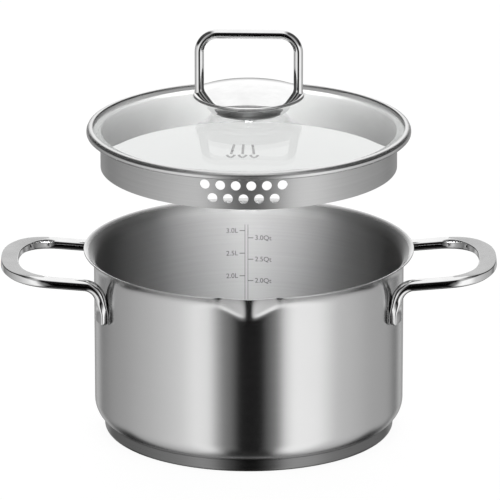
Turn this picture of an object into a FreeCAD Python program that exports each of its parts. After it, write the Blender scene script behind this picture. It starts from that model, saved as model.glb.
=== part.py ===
import FreeCAD, Part
import math
import os

import Sketcher

# Stainless saucepan, 20 cm, with a pouring spout, two welded rod handles and a strainer lid with a
# domed glass. Millimetres, +Z up. The origin is the centre of the base's underside, the handles
# lie along X and the spout points to -Y. The lid is drawn lifted straight up off the pan.

os.makedirs("parts", exist_ok=True)
doc = FreeCAD.newDocument("saucepan")

DRIVING_SIZES = {
    # pan shell
    "pan_inner_radius": 100.0,
    "pan_height": 121.5,
    "wall_thickness": 0.8,
    "corner_radius": 14.0,
    "flare_height": 10.0,
    "flare_radius": 10.5,
    # encapsulated base
    "cap_thickness": 0.5,
    "core_thickness": 5.7,
    "cap_radius": 94.4,
    "cap_edge_radius": 2.5,
    # pouring spout
    "spout_apex_height": 105.5,
    "spout_half_width": 24.0,
    "spout_top_reach": 109.8,
    "spout_top_shoulder": 103.5,
    "spout_low_shoulder": 92.0,
    # side handles
    "rod_radius": 3.75,
    "handle_half_spacing": 41.8,
    "handle_height": 109.0,
    "handle_tilt_degrees": 4.6,
    "handle_reach": 161.4,
    "handle_corner_radius": 26.0,
    "handle_bend_radius": 11.0,
    "grip_width": 11.4,
    "grip_thickness": 4.6,
    "leg_bottom": 82.6,
    "leg_axis_radius": 104.4,
    "paddle_width": 10.2,
    "paddle_thickness": 5.0,
    "paddle_top": 96.0,
    # strainer lid, heights counted from the underside of its ring
    "ring_outer_radius": 105.0,
    "ring_height": 5.0,
    "ring_lip_reach": 3.7,
    "ring_top_rounding": 2.0,
    "ring_bottom_rounding": 1.5,
    "skirt_radius": 96.0,
    "skirt_depth": 21.8,
    "lid_sheet": 0.6,
    "strainer_hole_radius": 3.1,
    "strainer_hole_pitch": 9.85,
    "strainer_low_row": 7.0,
    "strainer_high_row": 15.6,
    "seat_drop": 1.5,
    "lid_hover": 79.0,
    "lid_yaw": 2.0,
    # glass, as thick as the groove of the ring
    "glass_flat_rim": 5.4,
    "glass_rise": 10.0,
    "glass_hole_radius": 5.0,
    # knob
    "knob_seal_thickness": 0.5,
    "knob_seal_radius": 11.0,
    "cup_base_radius": 24.5,
    "cup_corner_radius": 6.0,
    "cup_wall_radius": 30.2,
    "cup_wall_height": 4.6,
    "cup_lip_radius": 36.0,
    "cup_height": 11.0,
    "cup_flare_radius": 9.0,
    "knob_sheet": 0.8,
    "cover_rise": 5.5,
    "loop_wire_radius": 3.0,
    "loop_half_width": 31.9,
    "loop_top": 54.3,
    "loop_corner_radius": 12.0,
    # fastening under the glass
    "stud_radius": 2.5,
    "running_clearance": 0.05,
    "bush_radius": 4.8,
    "under_seal_radius": 10.0,
    "under_seal_thickness": 0.8,
    "under_gap": 0.1,
    "washer_radius": 9.0,
    "washer_thickness": 0.6,
    "spring_washer_radius": 4.6,
    "spring_washer_thickness": 0.8,
    "spring_washer_gap": 1.2,
    "nut_across_flats": 8.0,
    "nut_height": 2.0,
    "nut_dome_radius": 3.6,
    "nut_dome_height": 0.9,
}

sheet = doc.addObject("Spreadsheet::Sheet", "Sizes")
for row, (alias, number) in enumerate(DRIVING_SIZES.items(), start=1):
    sheet.set(f"A{row}", alias)
    sheet.set(f"B{row}", str(number))
    sheet.setAlias(f"B{row}", alias)
doc.recompute()


class Size:
    """A length with its value in mm and the expression that binds it to the sheet."""

    def __init__(self, value, text):
        self.value = float(value)
        self.text = text

    def __add__(self, other):
        other = as_size(other)
        return Size(self.value + other.value, f"({self.text} + {other.text})")

    def __sub__(self, other):
        other = as_size(other)
        return Size(self.value - other.value, f"({self.text} - {other.text})")

    def __mul__(self, other):
        other = as_size(other)
        return Size(self.value * other.value, f"({self.text} * {other.text})")

    def __truediv__(self, other):
        other = as_size(other)
        return Size(self.value / other.value, f"({self.text} / {other.text})")

    def __neg__(self):
        return Size(-self.value, f"(0 - {self.text})")

    def root(self):
        return Size(math.sqrt(self.value), f"sqrt({self.text})")


def as_size(number):
    return number if isinstance(number, Size) else Size(number, repr(float(number)))


def size(alias):
    return Size(getattr(sheet, alias), f"Sizes.{alias}")


# Names for the driving sizes that several pieces share, and the sizes worked out from them.
inner_radius = size("pan_inner_radius")
wall = size("wall_thickness")
outer_radius = inner_radius + wall
pan_height = size("pan_height")
corner = size("corner_radius")
flare_start = pan_height - size("flare_height")
flare = size("flare_radius")
flare_offset = (flare * flare - size("flare_height") * size("flare_height")).root()
lip_inner_radius = inner_radius + flare - flare_offset
lip_outer_radius = inner_radius + flare - flare_offset * (flare - wall) / flare
lip_drop = size("flare_height") * wall / flare
shell_underside = size("cap_thickness") + size("core_thickness")
pan_floor = shell_underside + wall

rod_radius = size("rod_radius")
arm_offset = size("handle_half_spacing")
arm_height = size("handle_height")
leg_axis = (size("leg_axis_radius") * size("leg_axis_radius") - arm_offset * arm_offset).root()
bend_radius = size("handle_bend_radius")
tilt = sheet.handle_tilt_degrees
tilt_sine = Size(math.sin(math.radians(tilt)), "sin(Sizes.handle_tilt_degrees)")
tilt_cosine = Size(math.cos(math.radians(tilt)), "cos(Sizes.handle_tilt_degrees)")
arm_start = leg_axis + bend_radius - bend_radius * tilt_sine
bend_height = arm_height - bend_radius * tilt_cosine
# where the tilted plane of the loop meets the pan's axis
loop_plane_height = arm_height - arm_start * tilt_sine / tilt_cosine

ring_height = size("ring_height")
lid_sheet = size("lid_sheet")
ring_radius = size("ring_outer_radius")
ring_lip_radius = ring_radius - size("ring_lip_reach")
skirt_radius = size("skirt_radius")
glass_radius = ring_radius - lid_sheet
glass_bottom = lid_sheet
glass_top = ring_height - lid_sheet
glass_flat_radius = glass_radius - size("glass_flat_rim")
glass_rise = size("glass_rise")
dome_radius = (glass_flat_radius * glass_flat_radius + glass_rise * glass_rise) / (glass_rise * 2)

stud_radius = size("stud_radius")
nut_bore_radius = stud_radius + size("running_clearance")
loose_bore_radius = stud_radius + 0.3
knob_seat = glass_top + glass_rise + size("knob_seal_thickness")
cup_top = knob_seat + size("cup_height")
knob_sheet = size("knob_sheet")
cover_radius = size("cup_lip_radius")
cover_rise = size("cover_rise")
cover_curve = (cover_radius * cover_radius + cover_rise * cover_rise) / (cover_rise * 2)

under_seal_top = glass_bottom + glass_rise - size("under_gap")
under_seal_bottom = under_seal_top - size("under_seal_thickness")
washer_bottom = under_seal_bottom - size("washer_thickness")
spring_bottom = washer_bottom - size("spring_washer_thickness")
nut_bottom = spring_bottom - size("nut_height")
stud_bottom = nut_bottom + 0.5

lid_seated_height = pan_height - size("seat_drop")
lid_height = lid_seated_height + size("lid_hover")

pieces = {}


def new_piece(label):
    """An empty body whose Label names the file that it is written to."""
    body = doc.addObject("PartDesign::Body", label)
    body.Label = label
    pieces[label] = body
    return body


def new_sketch(body, name, role, offset=None):
    """A sketch on one of the body's own origin planes, moved along the plane's normal."""
    sketch = body.newObject("Sketcher::SketchObject", name)
    plane = next(item for item in body.Origin.OriginFeatures if item.Role == role)
    sketch.AttachmentSupport = [(plane, "")]
    sketch.MapMode = "FlatFace"
    if offset is not None:
        sketch.setExpression("AttachmentOffset.Base.z", as_size(offset).text)
    return sketch


def bind_point(sketch, geometry, end, across, up):
    """Fixes one point of the sketch by its distances from the origin."""
    for kind, axis, distance in (("DistanceX", -2, as_size(across)), ("DistanceY", -1, as_size(up))):
        if abs(distance.value) < 1e-9:
            sketch.addConstraint(Sketcher.Constraint("PointOnObject", geometry, end, axis))
        else:
            index = sketch.addConstraint(Sketcher.Constraint(kind, -1, 1, geometry, end, distance.value))
            sketch.setExpression(f"Constraints[{index}]", distance.text)


def arc_between(start, end, radius, turn):
    """The shorter arc from start to end; turn is +1 when it bends to the left."""
    middle = (start + end) * 0.5
    chord = end - start
    normal = FreeCAD.Vector(-chord.y, chord.x, 0)
    normal.normalize()
    half = chord.Length / 2
    to_centre = math.sqrt(max(radius * radius - half * half, 0.0))
    centre = middle + normal * (turn * to_centre)
    crown = centre - normal * (turn * radius)
    return Part.Arc(start, crown, end)


def draw(sketch, points, closed=True):
    """Draws an outline. A point is (x, y), or (x, y, radius, turn) when an arc leads to it."""
    count = len(points)
    spans = [(points[i], points[(i + 1) % count]) for i in range(count if closed else count - 1)]
    first = sketch.GeometryCount
    for start, end in spans:
        begin = FreeCAD.Vector(as_size(start[0]).value, as_size(start[1]).value, 0)
        finish = FreeCAD.Vector(as_size(end[0]).value, as_size(end[1]).value, 0)
        if len(end) == 4:
            edge = arc_between(begin, finish, as_size(end[2]).value, end[3])
        else:
            edge = Part.LineSegment(begin, finish)
        sketch.addGeometry(edge, False)
    tails = []
    for i, (start, end) in enumerate(spans):
        # an arc that bends to the right is stored the other way round
        backwards = len(end) == 4 and end[3] < 0
        head, tail = (2, 1) if backwards else (1, 2)
        tails.append(tail)
        bind_point(sketch, first + i, head, start[0], start[1])
        if i > 0:
            join = Sketcher.Constraint("Coincident", first + i - 1, tails[i - 1], first + i, head)
            sketch.addConstraint(join)
        if len(end) == 4:
            index = sketch.addConstraint(Sketcher.Constraint("Radius", first + i, as_size(end[2]).value))
            sketch.setExpression(f"Constraints[{index}]", as_size(end[2]).text)
    last = len(spans) - 1
    if closed:
        head = 2 if (len(spans[0][1]) == 4 and spans[0][1][3] < 0) else 1
        sketch.addConstraint(Sketcher.Constraint("Coincident", first + last, tails[last], first, head))
    else:
        bind_point(sketch, first + last, tails[last], spans[last][1][0], spans[last][1][1])


def draw_circle(sketch, across, up, radius):
    centre = FreeCAD.Vector(as_size(across).value, as_size(up).value, 0)
    index = sketch.addGeometry(Part.Circle(centre, FreeCAD.Vector(0, 0, 1), as_size(radius).value), False)
    bind_point(sketch, index, 3, across, up)
    constraint = sketch.addConstraint(Sketcher.Constraint("Radius", index, as_size(radius).value))
    sketch.setExpression(f"Constraints[{constraint}]", as_size(radius).text)


def check_change(body, name, before, wanted):
    """Stops when a feature changed the body's volume the wrong way, or not at all."""
    doc.recompute()
    change = body.Shape.Volume - before
    if change * wanted <= 0:
        raise RuntimeError(f"{name} changed the volume by {change:.2f}")


def volume_of(body):
    doc.recompute()
    return body.Shape.Volume if body.Tip is not None and not body.Shape.isNull() else 0.0


def turn(body, name, points, cut=False):
    """Turns an outline in the XZ plane about Z, to add or to cut."""
    before = volume_of(body)
    sketch = new_sketch(body, name + "_profile", "XZ_Plane")
    draw(sketch, points)
    feature = body.newObject("PartDesign::Groove" if cut else "PartDesign::Revolution", name)
    feature.Profile = (sketch, [""])
    feature.ReferenceAxis = (sketch, ["V_Axis"])
    feature.Angle = 360
    check_change(body, name, before, -1 if cut else 1)


def loft(body, name, role, sections, cut=False):
    """Joins two outlines, each given with its offset from the plane, by straight rules."""
    before = volume_of(body)
    sketches = []
    for i, (offset, points) in enumerate(sections):
        sketch = new_sketch(body, f"{name}_section_{i + 1}", role, offset)
        draw(sketch, points)
        sketches.append(sketch)
    doc.recompute()
    kind = "PartDesign::SubtractiveLoft" if cut else "PartDesign::AdditiveLoft"
    feature = body.newObject(kind, name)
    feature.Profile = (sketches[0], [""])
    feature.Sections = [(sketch, [""]) for sketch in sketches[1:]]
    feature.Ruled = True
    check_change(body, name, before, -1 if cut else 1)


def pad(body, name, sketch, length, cut=False, reverse=False, centred=False):
    before = volume_of(body)
    feature = body.newObject("PartDesign::Pocket" if cut else "PartDesign::Pad", name)
    feature.Profile = (sketch, [""])
    feature.setExpression("Length", as_size(length).text)
    feature.Reversed = reverse
    if centred:
        feature.SideType = "Symmetric"
    check_change(body, name, before, -1 if cut else 1)
    return feature


def sweep(body, name, path, profile):
    """Carries a round section along an open path."""
    before = volume_of(body)
    feature = body.newObject("PartDesign::AdditivePipe", name)
    feature.Profile = (profile, [""])
    feature.Spine = (path, [""])
    feature.Mode = "Standard"
    check_change(body, name, before, 1)
    return feature


def mirror(body, name, originals):
    """Repeats features on the other side of the XZ plane."""
    before = volume_of(body)
    feature = body.newObject("PartDesign::Mirrored", name)
    feature.Originals = originals
    plane = next(item for item in body.Origin.OriginFeatures if item.Role == "XZ_Plane")
    feature.MirrorPlane = (plane, [""])
    body.Tip = feature
    check_change(body, name, before, 1)


def spout_wedge(tip_shift, shoulder_shift):
    """The V of the spout at its apex and at the rim, as two outlines seen from above."""
    half_width = size("spout_half_width")
    top_tip = -size("spout_top_reach") + tip_shift
    low_tip = -outer_radius + tip_shift
    back = -inner_radius * 0.8

    def outline(tip, shoulder):
        return [
            (0, tip),
            (half_width, -shoulder + shoulder_shift),
            (half_width, back),
            (-half_width, back),
            (-half_width, -shoulder + shoulder_shift),
        ]

    return [
        (size("spout_apex_height"), outline(low_tip, size("spout_low_shoulder"))),
        (pan_height, outline(top_tip, size("spout_top_shoulder"))),
    ]


def make_pan_body():
    """The deep-drawn shell: floor, round corner, upright wall, flared rim and pressed spout."""
    body = new_piece("pan_body")
    turn(body, "shell_outside", [
        (0, shell_underside),
        (outer_radius - corner, shell_underside),
        (outer_radius, shell_underside + corner, corner, 1),
        (outer_radius, flare_start),
        (lip_outer_radius, pan_height - lip_drop, flare - wall, -1),
        (lip_inner_radius, pan_height),
        (0, pan_height),
    ])
    loft(body, "spout_outside", "XY_Plane", spout_wedge(0.0, 0.0))
    inner_corner = corner - wall
    turn(body, "shell_inside", [
        (0, pan_floor),
        (inner_radius - inner_corner, pan_floor),
        (inner_radius, pan_floor + inner_corner, inner_corner, 1),
        (inner_radius, flare_start),
        (lip_inner_radius, pan_height, flare, -1),
        (lip_inner_radius, pan_height + 2.0),
        (0, pan_height + 2.0),
    ], cut=True)
    # the spout's faces lean outwards, so a level cut through their wall is a little wider than it
    level_wall = wall * 1.15
    loft(body, "spout_inside", "XY_Plane", spout_wedge(level_wall, level_wall), cut=True)


def make_base():
    """The aluminium disc under the shell and the steel cap pressed around it."""
    cap_thickness = size("cap_thickness")
    cap_radius = size("cap_radius")
    edge = size("cap_edge_radius")
    core_radius = cap_radius - cap_thickness
    # where the upright side of the disc meets the shell's rounded corner
    corner_centre = outer_radius - corner
    across = core_radius - corner_centre
    core_top = shell_underside + corner - (corner * corner - across * across).root()
    core = new_piece("base_core")
    turn(core, "disc", [
        (0, cap_thickness),
        (core_radius - (edge - cap_thickness), cap_thickness),
        (core_radius, edge, edge - cap_thickness, 1),
        (core_radius, core_top),
        (corner_centre, shell_underside, corner, -1),
        (0, shell_underside),
    ])
    lip_across = cap_radius - corner_centre
    lip_top = shell_underside + corner - (corner * corner - lip_across * lip_across).root()
    cap = new_piece("base_cap")
    turn(cap, "capsule", [
        (0, 0),
        (cap_radius - edge, 0),
        (cap_radius, edge, edge, 1),
        (cap_radius, lip_top),
        (core_radius, core_top, corner, -1),
        (core_radius, edge),
        (core_radius - (edge - cap_thickness), cap_thickness, edge - cap_thickness, -1),
        (0, cap_thickness),
    ])


def tilt_sketch(sketch, side, lift=0.0):
    """Lays a sketch in the plane of a handle's loop, which rises outwards, or lifts it off there."""
    lift = as_size(lift)
    offset = FreeCAD.Vector(-side * lift.value * tilt_sine.value, 0, 0)
    sketch.AttachmentOffset = FreeCAD.Placement(
        offset, FreeCAD.Rotation(FreeCAD.Vector(0, 1, 0), -side * tilt)
    )
    sketch.setExpression("AttachmentOffset.Rotation.Angle", f"{-side} * Sizes.handle_tilt_degrees")
    sketch.setExpression("AttachmentOffset.Base.x", (lift * tilt_sine * -side).text)
    sketch.setExpression("AttachmentOffset.Base.z", (loop_plane_height + lift * tilt_cosine).text)


def make_handle(label, side):
    """One rod bent into a loop: flat grip, two round arms, bends, and legs welded to the wall."""
    body = new_piece(label)
    corner_radius = size("handle_corner_radius")
    half_thickness = size("grip_thickness") / 2
    # distances in the loop's own plane, measured from the pan's axis
    reach = (size("handle_reach") - half_thickness * tilt_sine) / tilt_cosine
    end_x = reach - size("grip_width") / 2
    straight_start = arm_start / tilt_cosine
    corner_start = end_x - corner_radius
    corner_y = arm_offset - corner_radius

    loop_path = new_sketch(body, "loop_path", "XY_Plane")
    tilt_sketch(loop_path, side)
    draw(loop_path, [
        (straight_start * side, -arm_offset),
        (corner_start * side, -arm_offset),
        (end_x * side, -corner_y, corner_radius, side),
        (end_x * side, corner_y),
        (corner_start * side, arm_offset, corner_radius, side),
        (straight_start * side, arm_offset),
    ], closed=False)
    loop_profile = new_sketch(body, "loop_profile", "YZ_Plane", arm_start * side)
    draw_circle(loop_profile, -arm_offset, arm_height, rod_radius)
    doc.recompute()
    sweep(body, "loop", loop_path, loop_profile)

    # the grip is pressed flat: a wider strip, and the rod's crown and keel cut off level
    inner_x = reach - size("grip_width")
    grip = new_sketch(body, "grip_outline", "XY_Plane")
    tilt_sketch(grip, side)
    draw(grip, [
        (inner_x * side, -corner_y),
        (reach * side, -corner_y),
        (reach * side, corner_y),
        (inner_x * side, corner_y),
    ])
    doc.recompute()
    pad(body, "grip", grip, size("grip_thickness"), centred=True)
    for name, direction in (("crown_cut", 1), ("keel_cut", -1)):
        cutter = new_sketch(body, name + "_outline", "XY_Plane")
        tilt_sketch(cutter, side, half_thickness * direction)
        draw(cutter, [
            ((inner_x - 1.0) * side, -corner_y),
            ((reach + 1.0) * side, -corner_y),
            ((reach + 1.0) * side, corner_y),
            ((inner_x - 1.0) * side, corner_y),
        ])
        doc.recompute()
        pad(body, name, cutter, rod_radius, cut=True, reverse=direction > 0)

    # the bend and the round part of one leg
    leg_path = new_sketch(body, "leg_path", "XZ_Plane", arm_offset)
    draw(leg_path, [
        (arm_start * side, arm_height),
        (leg_axis * side, bend_height, bend_radius, side),
        (leg_axis * side, size("paddle_top") - 4.0),
    ], closed=False)
    leg_profile = new_sketch(body, "leg_profile", "YZ_Plane", arm_start * side)
    draw_circle(leg_profile, -arm_offset, arm_height, rod_radius)
    doc.recompute()
    leg = sweep(body, "leg", leg_path, leg_profile)

    # the flattened paddle stands square to the pan's radius
    cosine = leg_axis / size("leg_axis_radius")
    sine = arm_offset / size("leg_axis_radius")
    half_width = size("paddle_width") / 2

    def corner_point(radius, along):
        return (
            (cosine * radius + sine * along) * side,
            cosine * along - sine * radius,
        )

    outside = outer_radius + size("paddle_thickness")
    inside = outer_radius - 1.0
    paddle_outline = new_sketch(body, "paddle_outline", "XY_Plane", size("leg_bottom"))
    draw(paddle_outline, [
        corner_point(inside, -half_width),
        corner_point(outside, -half_width),
        corner_point(outside, half_width),
        corner_point(inside, half_width),
    ])
    doc.recompute()
    paddle = pad(body, "paddle", paddle_outline, size("paddle_top") - size("leg_bottom"))
    mirror(body, "other_leg", [leg, paddle])
    turn(body, "wall_hollow", [
        (0, size("leg_bottom") - 5.0),
        (outer_radius, size("leg_bottom") - 5.0),
        (outer_radius, arm_height - 1.0),
        (0, arm_height - 1.0),
    ], cut=True)


def make_lid_rim():
    """The ring rolled around the glass and the skirt below it, one strip, with strainer holes."""
    body = new_piece("lid_rim")
    top_rounding = size("ring_top_rounding")
    bottom_rounding = size("ring_bottom_rounding")
    skirt_bottom = -size("skirt_depth")
    turn(body, "ring_and_skirt", [
        (skirt_radius - lid_sheet, skirt_bottom),
        (skirt_radius, skirt_bottom),
        (skirt_radius, 0),
        (ring_radius - bottom_rounding, 0),
        (ring_radius, bottom_rounding, bottom_rounding, 1),
        (ring_radius, ring_height - top_rounding),
        (ring_radius - top_rounding, ring_height, top_rounding, 1),
        (ring_lip_radius, ring_height),
        (ring_lip_radius, glass_top),
        (glass_radius, glass_top),
        (glass_radius, glass_bottom),
        (skirt_radius - lid_sheet, glass_bottom),
    ])
    holes = new_sketch(body, "strainer_holes", "XZ_Plane")
    for count, row_height in ((6, "strainer_high_row"), (5, "strainer_low_row")):
        for i in range(count):
            across = size("strainer_hole_pitch") * (i - (count - 1) / 2)
            draw_circle(holes, across, skirt_bottom + size(row_height), size("strainer_hole_radius"))
    doc.recompute()
    pad(body, "strainer", holes, skirt_radius + 5.0, cut=True, reverse=True)


def make_glass():
    """The tempered glass, a shallow dome with a flat edge that the ring is rolled around."""
    glass = new_piece("lid_glass")
    hole = size("glass_hole_radius")
    turn(glass, "dome", [
        (hole, glass_bottom + glass_rise),
        (glass_flat_radius, glass_bottom, dome_radius, -1),
        (glass_radius, glass_bottom),
        (glass_radius, glass_top),
        (glass_flat_radius, glass_top),
        (hole, glass_top + glass_rise, dome_radius, 1),
    ])


def make_ring(label, inner, outer, bottom, top):
    """A flat washer or a sleeve."""
    body = new_piece(label)
    turn(body, "ring", [(inner, bottom), (outer, bottom), (outer, top), (inner, top)])
    return body


def make_knob():
    """The knob: a flared cup, a domed cover welded to its lip, a wire loop and a threaded stud."""
    cup = new_piece("knob_cup")
    base = size("cup_base_radius")
    bend = size("cup_corner_radius")
    wall_radius = size("cup_wall_radius")
    wall_height = knob_seat + size("cup_wall_height")
    lip_radius = size("cup_lip_radius")
    flare_curve = size("cup_flare_radius")
    turn(cup, "cup", [
        (0, knob_seat),
        (base, knob_seat),
        (wall_radius, wall_height, bend, 1),
        (lip_radius, cup_top, flare_curve, -1),
        (lip_radius - knob_sheet * 1.6, cup_top),
        (wall_radius - knob_sheet, wall_height + knob_sheet * 0.4, flare_curve + knob_sheet, 1),
        (base, knob_seat + knob_sheet, bend - knob_sheet * 0.5, -1),
        (0, knob_seat + knob_sheet),
    ])
    cover = new_piece("knob_cover")
    turn(cover, "cover", [
        (0, cup_top + cover_rise),
        (cover_radius, cup_top, cover_curve, -1),
        (cover_radius, cup_top + knob_sheet),
        (0, cup_top + cover_rise + knob_sheet, cover_curve, 1),
    ])

    # the wire stands on the cover; its feet are cut to the cover's dome
    loop = new_piece("knob_loop")
    half = size("loop_half_width")
    top = knob_seat + size("loop_top") - size("loop_wire_radius")
    rounding = size("loop_corner_radius")
    path = new_sketch(loop, "loop_path", "XZ_Plane")
    draw(path, [
        (-half, cup_top),
        (-half, top - rounding),
        (-half + rounding, top, rounding, -1),
        (half - rounding, top),
        (half, top - rounding, rounding, -1),
        (half, cup_top),
    ], closed=False)
    profile = new_sketch(loop, "loop_profile", "XY_Plane", cup_top)
    draw_circle(profile, -half, 0, size("loop_wire_radius"))
    doc.recompute()
    sweep(loop, "wire", path, profile)
    turn(loop, "feet", [
        (0, cup_top - 2.0),
        (cover_radius, cup_top - 2.0),
        (cover_radius, cup_top + knob_sheet),
        (0, cup_top + cover_rise + knob_sheet, cover_curve, 1),
    ], cut=True)

    stud = new_piece("knob_stud")
    turn(stud, "stud", [
        (0, stud_bottom),
        (stud_radius - 0.5, stud_bottom),
        (stud_radius, stud_bottom + 0.5),
        (stud_radius, knob_seat),
        (0, knob_seat),
    ])


def make_fastening():
    """What holds the knob: seals above and below the glass, a bush, washers and a domed nut."""
    dome_top = glass_top + glass_rise
    make_ring("knob_seal", loose_bore_radius, size("knob_seal_radius"), dome_top, knob_seat)
    make_ring("hole_bush", loose_bore_radius, size("bush_radius"), glass_bottom + glass_rise, dome_top)
    make_ring("under_seal", loose_bore_radius, size("under_seal_radius"), under_seal_bottom, under_seal_top)
    make_ring("plain_washer", loose_bore_radius, size("washer_radius"), washer_bottom, under_seal_bottom)
    spring = make_ring(
        "spring_washer", loose_bore_radius, size("spring_washer_radius"), spring_bottom, washer_bottom
    )
    split = new_sketch(spring, "split_outline", "XY_Plane", spring_bottom)
    half_gap = size("spring_washer_gap") / 2
    draw(split, [
        (0, -half_gap),
        (size("spring_washer_radius") + 1.0, -half_gap),
        (size("spring_washer_radius") + 1.0, half_gap),
        (0, half_gap),
    ])
    doc.recompute()
    pad(spring, "split", split, size("spring_washer_thickness"), cut=True, reverse=True)

    nut = new_piece("dome_nut")
    hexagon = new_sketch(nut, "hexagon", "XY_Plane", nut_bottom)
    corner_radius = size("nut_across_flats") / math.sqrt(3)
    directions = [math.radians(60 * i) for i in range(6)]
    draw(hexagon, [(corner_radius * math.cos(a), corner_radius * math.sin(a)) for a in directions])
    doc.recompute()
    pad(nut, "flats", hexagon, size("nut_height"))
    dome_bottom = nut_bottom - size("nut_dome_height")
    dome_reach = size("nut_dome_radius")
    dome_rise = size("nut_dome_height")
    dome_curve = (dome_reach * dome_reach + dome_rise * dome_rise) / (dome_rise * 2)
    turn(nut, "dome", [
        (0, dome_bottom),
        (dome_reach, nut_bottom, dome_curve, 1),
        (dome_reach, nut_bottom + 1.0),
        (0, nut_bottom + 1.0),
    ])
    turn(nut, "thread_bore", [
        (0, nut_bottom),
        (nut_bore_radius, nut_bottom),
        (nut_bore_radius, spring_bottom + 1.0),
        (0, spring_bottom + 1.0),
    ], cut=True)


def place_lid():
    """Lifts every lid piece to where the lid hovers and turns the lid a little about Z."""
    for label in LID_PIECES:
        body = pieces[label]
        body.Placement.Rotation = FreeCAD.Rotation(FreeCAD.Vector(0, 0, 1), -sheet.lid_yaw)
        body.setExpression("Placement.Base.z", lid_height.text)


def check_model():
    """Stops before anything is written when an object failed or a piece is not one good solid."""
    doc.recompute()
    for item in doc.Objects:
        if "Invalid" in item.State or "Error" in item.State:
            raise RuntimeError(f"{item.Label} did not recompute: {item.State}")
    for label, piece in pieces.items():
        if piece.Shape.isNull() or not piece.Shape.isValid() or len(piece.Shape.Solids) != 1:
            raise RuntimeError(f"{label} is not one valid solid")


LID_PIECES = [
    "lid_rim", "lid_glass", "knob_cup", "knob_cover", "knob_loop", "knob_stud",
    "knob_seal", "hole_bush", "under_seal", "plain_washer", "spring_washer", "dome_nut",
]

make_pan_body()
make_base()
make_handle("handle_left", -1)
make_handle("handle_right", 1)
make_lid_rim()
make_glass()
make_knob()
make_fastening()
place_lid()
check_model()
for label, piece in pieces.items():
    piece.Shape.exportStep(f"parts/{label}.step")
    print(f"{label}: {piece.Shape.Volume / 1000:.2f} cm3")
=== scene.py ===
"""Looks for the saucepan with a glass strainer lid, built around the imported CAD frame.

Shapes are worked out in millimetres in the frame's own axes and become metres in make_object().
"""

import math

import bmesh
import bpy
from mathutils import Matrix, Vector


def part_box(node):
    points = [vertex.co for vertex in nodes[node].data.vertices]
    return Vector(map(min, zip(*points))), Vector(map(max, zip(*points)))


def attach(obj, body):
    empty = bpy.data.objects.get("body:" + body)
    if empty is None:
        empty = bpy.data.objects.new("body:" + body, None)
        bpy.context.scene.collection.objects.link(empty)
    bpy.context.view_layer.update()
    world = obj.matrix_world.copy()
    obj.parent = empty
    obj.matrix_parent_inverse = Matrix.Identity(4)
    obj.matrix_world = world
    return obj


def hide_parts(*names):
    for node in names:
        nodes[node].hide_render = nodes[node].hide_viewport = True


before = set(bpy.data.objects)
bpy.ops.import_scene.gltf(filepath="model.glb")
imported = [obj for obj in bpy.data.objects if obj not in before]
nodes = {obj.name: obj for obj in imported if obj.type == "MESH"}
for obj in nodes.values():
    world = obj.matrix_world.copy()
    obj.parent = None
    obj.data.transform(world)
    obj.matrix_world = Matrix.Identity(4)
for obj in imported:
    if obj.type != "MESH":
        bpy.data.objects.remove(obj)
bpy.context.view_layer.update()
MM = 0.001


def mm_box(node):
    """Lowest and highest corner of a CAD node, in millimetres."""
    low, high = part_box(node)
    return low / MM, high / MM


def spread(start, end, steps):
    """steps + 1 evenly spaced numbers from start to end."""
    return [start + (end - start) * i / steps for i in range(steps + 1)]


def smooth(value, start, end):
    """0 before start, 1 after end, and an even S between them."""
    t = min(max((value - start) / (end - start), 0.0), 1.0)
    return t * t * (3 - 2 * t)


def mix(a, b, t):
    return a + (b - a) * t


# ---------------------------------------------------------------- sizes, from the frame
pan_low, pan_high = mm_box("pan_body")
cap_high = mm_box("base_cap")[1]
grip_low, grip_high = mm_box("handle_right")
rim_low, rim_high = mm_box("lid_rim")
glass_low, glass_high = mm_box("lid_glass")
cup_low, cup_high = mm_box("knob_cup")
cover_low, cover_high = mm_box("knob_cover")
loop_high = mm_box("knob_loop")[1]

WALL = 0.8
PAN_BORE = 100.0
PAN_TOP = pan_high.z
FLARE_HEIGHT = 10.0
FLARE_RADIUS = 10.5
PAN_CORNER = 14.0
PAN_UNDERSIDE = pan_low.z
SPOUT_REACH = -pan_low.y
SPOUT_APEX = PAN_TOP - 16.0
LID_SHEET = 0.6
RING_HEIGHT = 5.0
LID_Z = rim_high.z - RING_HEIGHT
SKIRT_RADIUS = 96.0
LID_YAW = math.radians(-2.0)
GLASS_THICKNESS = 3.8


# ---------------------------------------------------------------- mesh tools
POLE = 1e-6  # a point of an outline that is nearer to the axis than this lies on it


def arc(centre_x, centre_y, radius, start, end, steps):
    """Points on an arc, its angles in degrees."""
    return [
        (centre_x + radius * math.cos(math.radians(a)), centre_y + radius * math.sin(math.radians(a)))
        for a in spread(start, end, steps)
    ]


def soften(points, steps=4, closed=True):
    """Rounds the corners of an outline; a corner is (x, y) or (x, y, radius)."""
    outline = []
    count = len(points)
    for i, point in enumerate(points):
        here = Vector(point[:2])
        if len(point) < 3 or (not closed and i in (0, count - 1)):
            outline.append(tuple(here))
            continue
        before = (Vector(points[i - 1][:2]) - here).normalized()
        after = (Vector(points[(i + 1) % count][:2]) - here).normalized()
        half = before.angle(after) / 2
        reach = point[2] / math.tan(half)
        centre = here + (before + after).normalized() * (point[2] / math.sin(half))
        first = here + before * reach - centre
        last = here + after * reach - centre
        sweep = first.angle_signed(last)
        for step in range(steps + 1):
            turned = first.copy()
            turned.rotate(Matrix.Rotation(-sweep * step / steps, 2))
            outline.append(tuple(centre + turned))
    return outline


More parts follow.
